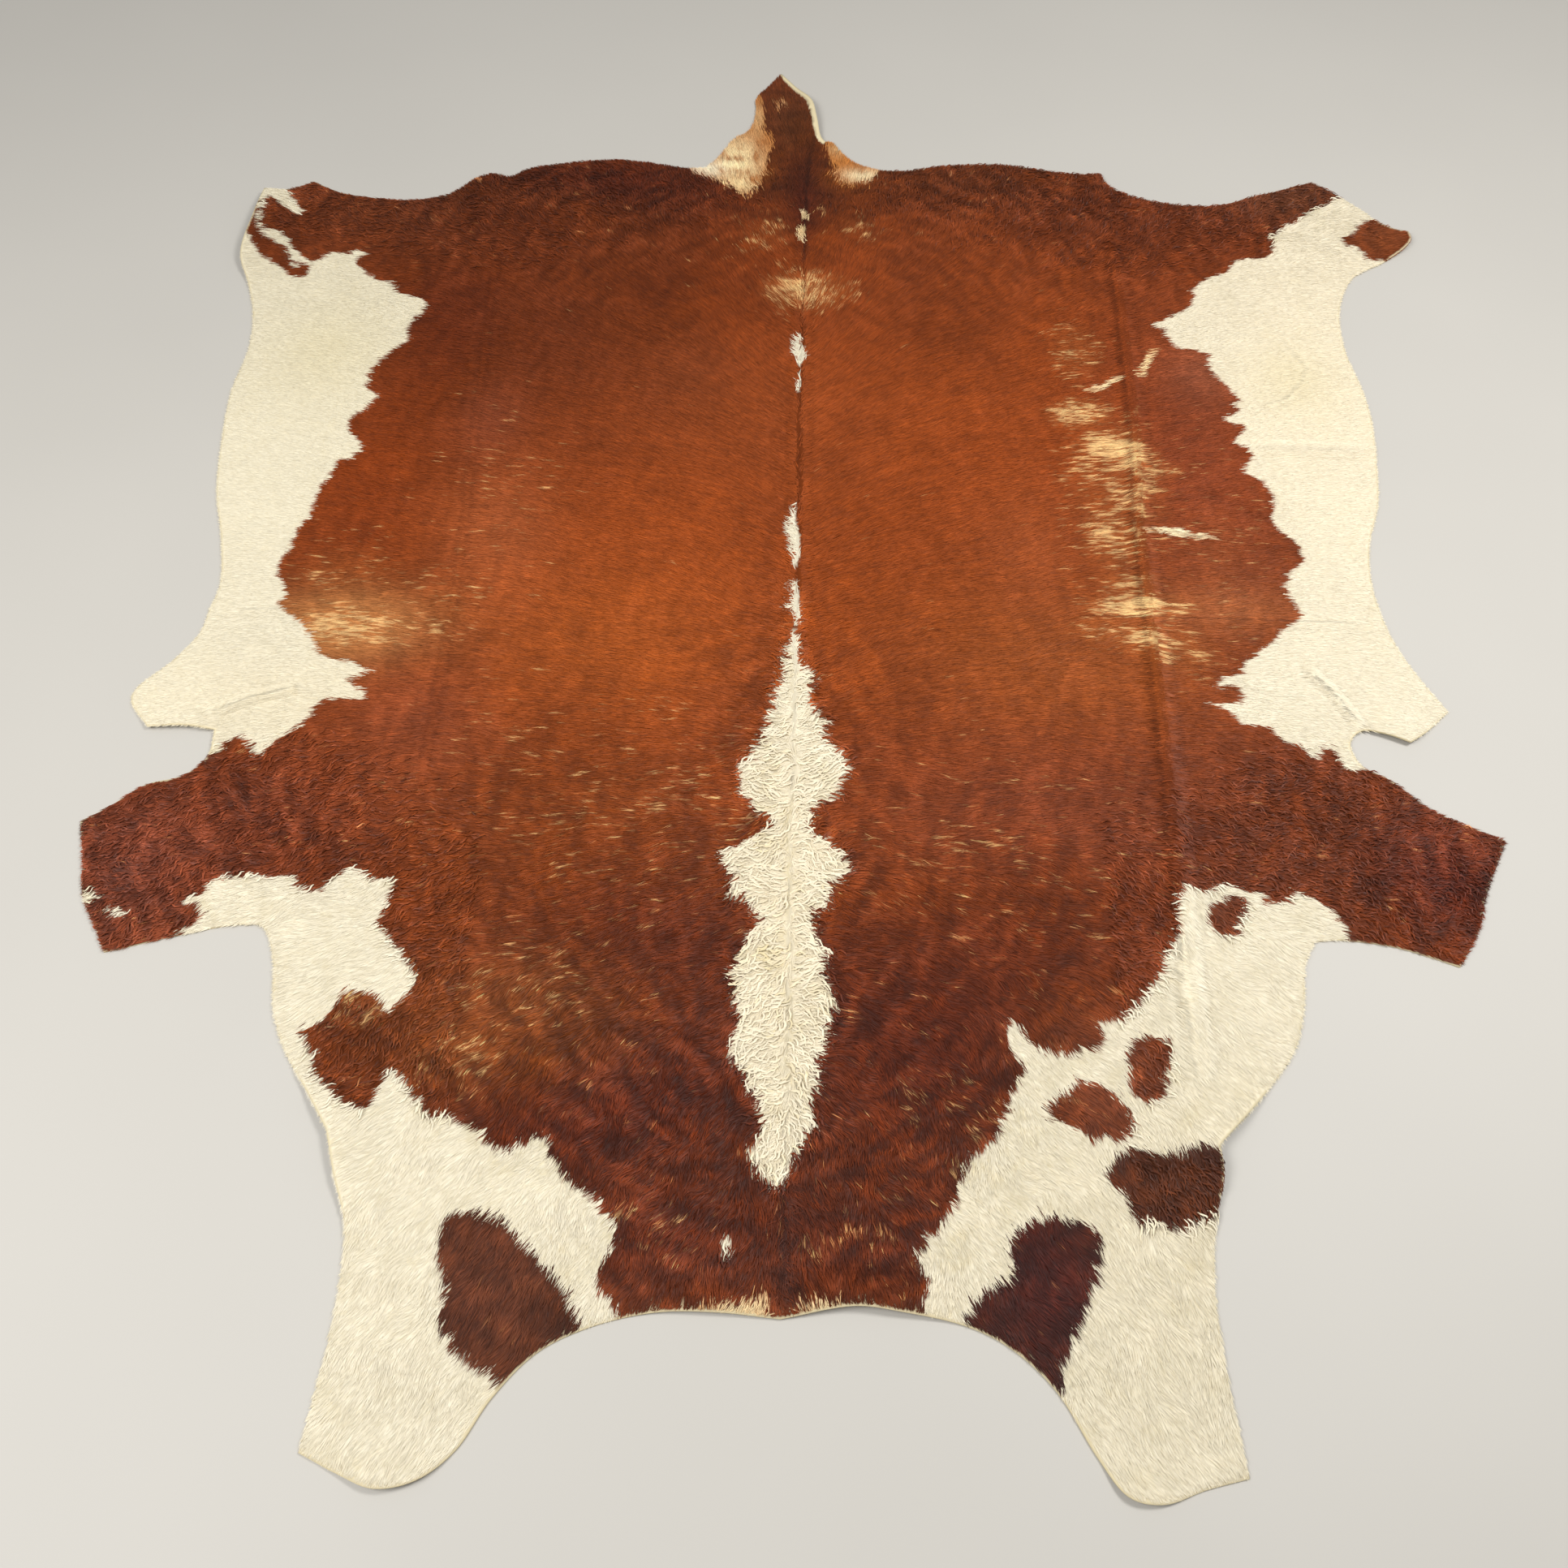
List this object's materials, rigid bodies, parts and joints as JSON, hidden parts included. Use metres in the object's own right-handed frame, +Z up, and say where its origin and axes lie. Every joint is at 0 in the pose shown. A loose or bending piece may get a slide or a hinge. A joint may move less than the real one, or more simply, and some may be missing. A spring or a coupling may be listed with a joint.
{
  "type": "whole cowhide",
  "caption": "Whole hair-on cowhide laid flat on the floor as a rug, with tail stub, four shanks and the neck cut across.",
  "frame": {"origin": "middle of the hide's bounding box, on the floor under it", "axes": "+Y towards the tail along the spine, +X to the right seen from above with the tail at the top, +Z up, hair side up"},
  "size_m": [2.2522, 2.7062, 0.0264],
  "materials": {
    "hair_on_hide": "short lying hair, chestnut brown with cream white belly, spine and neck patches"
  },
  "bodies": {
    "root": {"hide": "hair_on_hide"}
  },
  "joints": []
}
